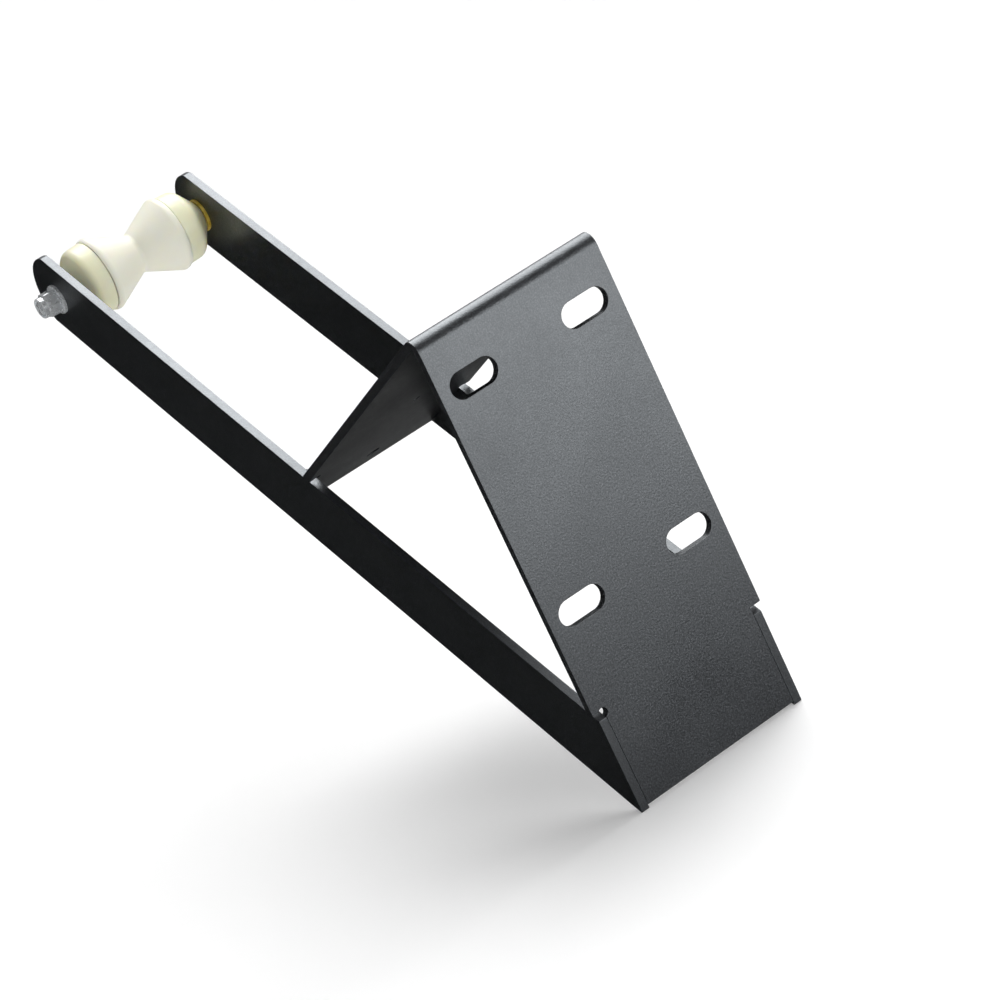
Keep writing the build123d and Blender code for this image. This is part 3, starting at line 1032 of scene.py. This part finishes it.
def add_stage():
    """A pale floor that curves up into a wall all round."""
    profile = [(STAGE_FLAT, 0), (STAGE_RADIUS - STAGE_COVE, 0)]
    for i in range(1, COVE_STEPS + 1):
        turn = pi / 2 * i / COVE_STEPS
        profile.append(
            (STAGE_RADIUS - STAGE_COVE + STAGE_COVE * sin(turn), STAGE_COVE * (1 - cos(turn)))
        )
    profile.append((STAGE_RADIUS, STAGE_HEIGHT))
    points, faces, rings = [], [], []
    for radius, height in profile:
        rings.append(range(len(points), len(points) + STAGE_SEGMENTS))
        for i in range(STAGE_SEGMENTS):
            turn = 2 * pi * i / STAGE_SEGMENTS
            points.append((radius * cos(turn), radius * sin(turn), FLOOR_Z + height))
    for lower, upper in zip(rings, rings[1:]):
        faces += band(lower, upper)
    faces.append(list(rings[0]))
    floor = bpy.data.objects.new("stage_floor", build_mesh("stage_floor", points, faces))
    bpy.context.scene.collection.objects.link(floor)
    paper = Finish("pale_paper", Roughness=0.9, Specular_IOR_Level=0.0)
    paper.drive(
        "Base Color", paper.shades(paper.noise(3, 4), (0.80, 0.80, 0.80), (0.82, 0.82, 0.82))
    )
    paper.shader.inputs["Emission Color"].default_value = (1, 1, 1, 1)
    paper.shader.inputs["Emission Strength"].default_value = STAGE_GLOW
    floor.data.materials.append(paper.material)
    floor.visible_glossy = False
    floor.visible_shadow = False


def hang_light(light, heading):
    """Puts a light in the scene, shining along a direction."""
    lamp = bpy.data.objects.new(light.name, light)
    bpy.context.scene.collection.objects.link(lamp)
    lamp.rotation_mode = "QUATERNION"
    lamp.rotation_quaternion = heading.to_track_quat("-Z", "Y")
    return lamp


def add_sun(name, toward, strength, spread):
    """A soft, distant overhead light, as from a large diffuser."""
    light = bpy.data.lights.new(name, "SUN")
    light.energy = strength
    light.angle = spread
    hang_light(light, -Vector(toward))


def add_panel(name, place, target, width, height, radiance):
    """A rectangular soft light that looks from one place at another."""
    light = bpy.data.lights.new(name, "AREA")
    light.shape = "RECTANGLE"
    light.size = width
    light.size_y = height
    light.energy = radiance * pi * width * height
    lamp = hang_light(light, Vector(target) - Vector(place))
    lamp.location = place
    lamp.visible_camera = False


SURROUND_TOP = 0.45  # height, as the sine of its elevation, at which the surround is brightest


def add_world(low, high):
    """A dim surround, brighter above the horizon than below it."""
    world = bpy.data.worlds.new("studio_surround")
    bpy.context.scene.world = world
    world.use_nodes = True
    tree = world.node_tree
    direction = tree.nodes.new("ShaderNodeTexCoord").outputs["Generated"]
    split = tree.nodes.new("ShaderNodeSeparateXYZ")
    rise = tree.nodes.new("ShaderNodeMapRange")
    rise.interpolation_type = "SMOOTHSTEP"
    tree.links.new(direction, split.inputs[0])
    tree.links.new(split.outputs["Z"], rise.inputs["Value"])
    rise.inputs["From Min"].default_value = 0.0
    rise.inputs["From Max"].default_value = SURROUND_TOP
    rise.inputs["To Min"].default_value = low
    rise.inputs["To Max"].default_value = high
    tree.links.new(rise.outputs["Result"], tree.nodes["Background"].inputs["Strength"])


# The camera stands at the photo's viewing angle.
CAMERA_TARGET = Vector((0.22428, -0.03380, -0.07106))
CAMERA_DISTANCE = 2.5766
CAMERA_AZIMUTH = radians(246.109)
CAMERA_ELEVATION = radians(17.547)
CAMERA_ROLL = radians(-25.529)
CAMERA_LENS = 132.29


def add_camera():
    """The camera. From azimuth 90 it would face the roller, and from 270 the mounting plate."""
    camera = bpy.data.objects.new("photo_camera", bpy.data.cameras.new("photo_camera"))
    bpy.context.scene.collection.objects.link(camera)
    flat = cos(CAMERA_ELEVATION)
    away = Vector(
        (sin(CAMERA_AZIMUTH) * flat, -cos(CAMERA_AZIMUTH) * flat, sin(CAMERA_ELEVATION))
    )
    camera.location = CAMERA_TARGET + away * CAMERA_DISTANCE
    camera.rotation_mode = "QUATERNION"
    camera.rotation_quaternion = (-away).to_track_quat("-Z", "Y") @ Quaternion(
        (0, 0, 1), CAMERA_ROLL
    )
    camera.data.lens = CAMERA_LENS
    camera.data.clip_end = 100
    bpy.context.scene.camera = camera


add_stage()
add_world(low=0.05, high=0.2)
add_sun("overhead_diffuser", toward=(0.35, -0.45, 0.82), strength=3.1, spread=radians(58))
# Each panel: where it stands, where it looks, its width and height, and its radiance.
add_panel("front_card", (-0.62, -0.28, -0.02), (0, 0, -0.05), 1.0, 0.5, 2.25)
add_panel("camera_fill", (-1.4, 0.9, 0.95), (0.45, 0, 0.1), 1.4, 1.2, 0.45)
add_panel("tip_softbox", (0.86, -0.29, 1.0), (0.58, 0, 0.14), 0.5, 0.5, 2.6)
add_panel("low_card", (0.68, -0.17, -0.18), (0.28, 0, 0.03), 0.26, 0.22, 0.3)
add_camera()
bpy.context.scene.view_settings.view_transform = "Standard"
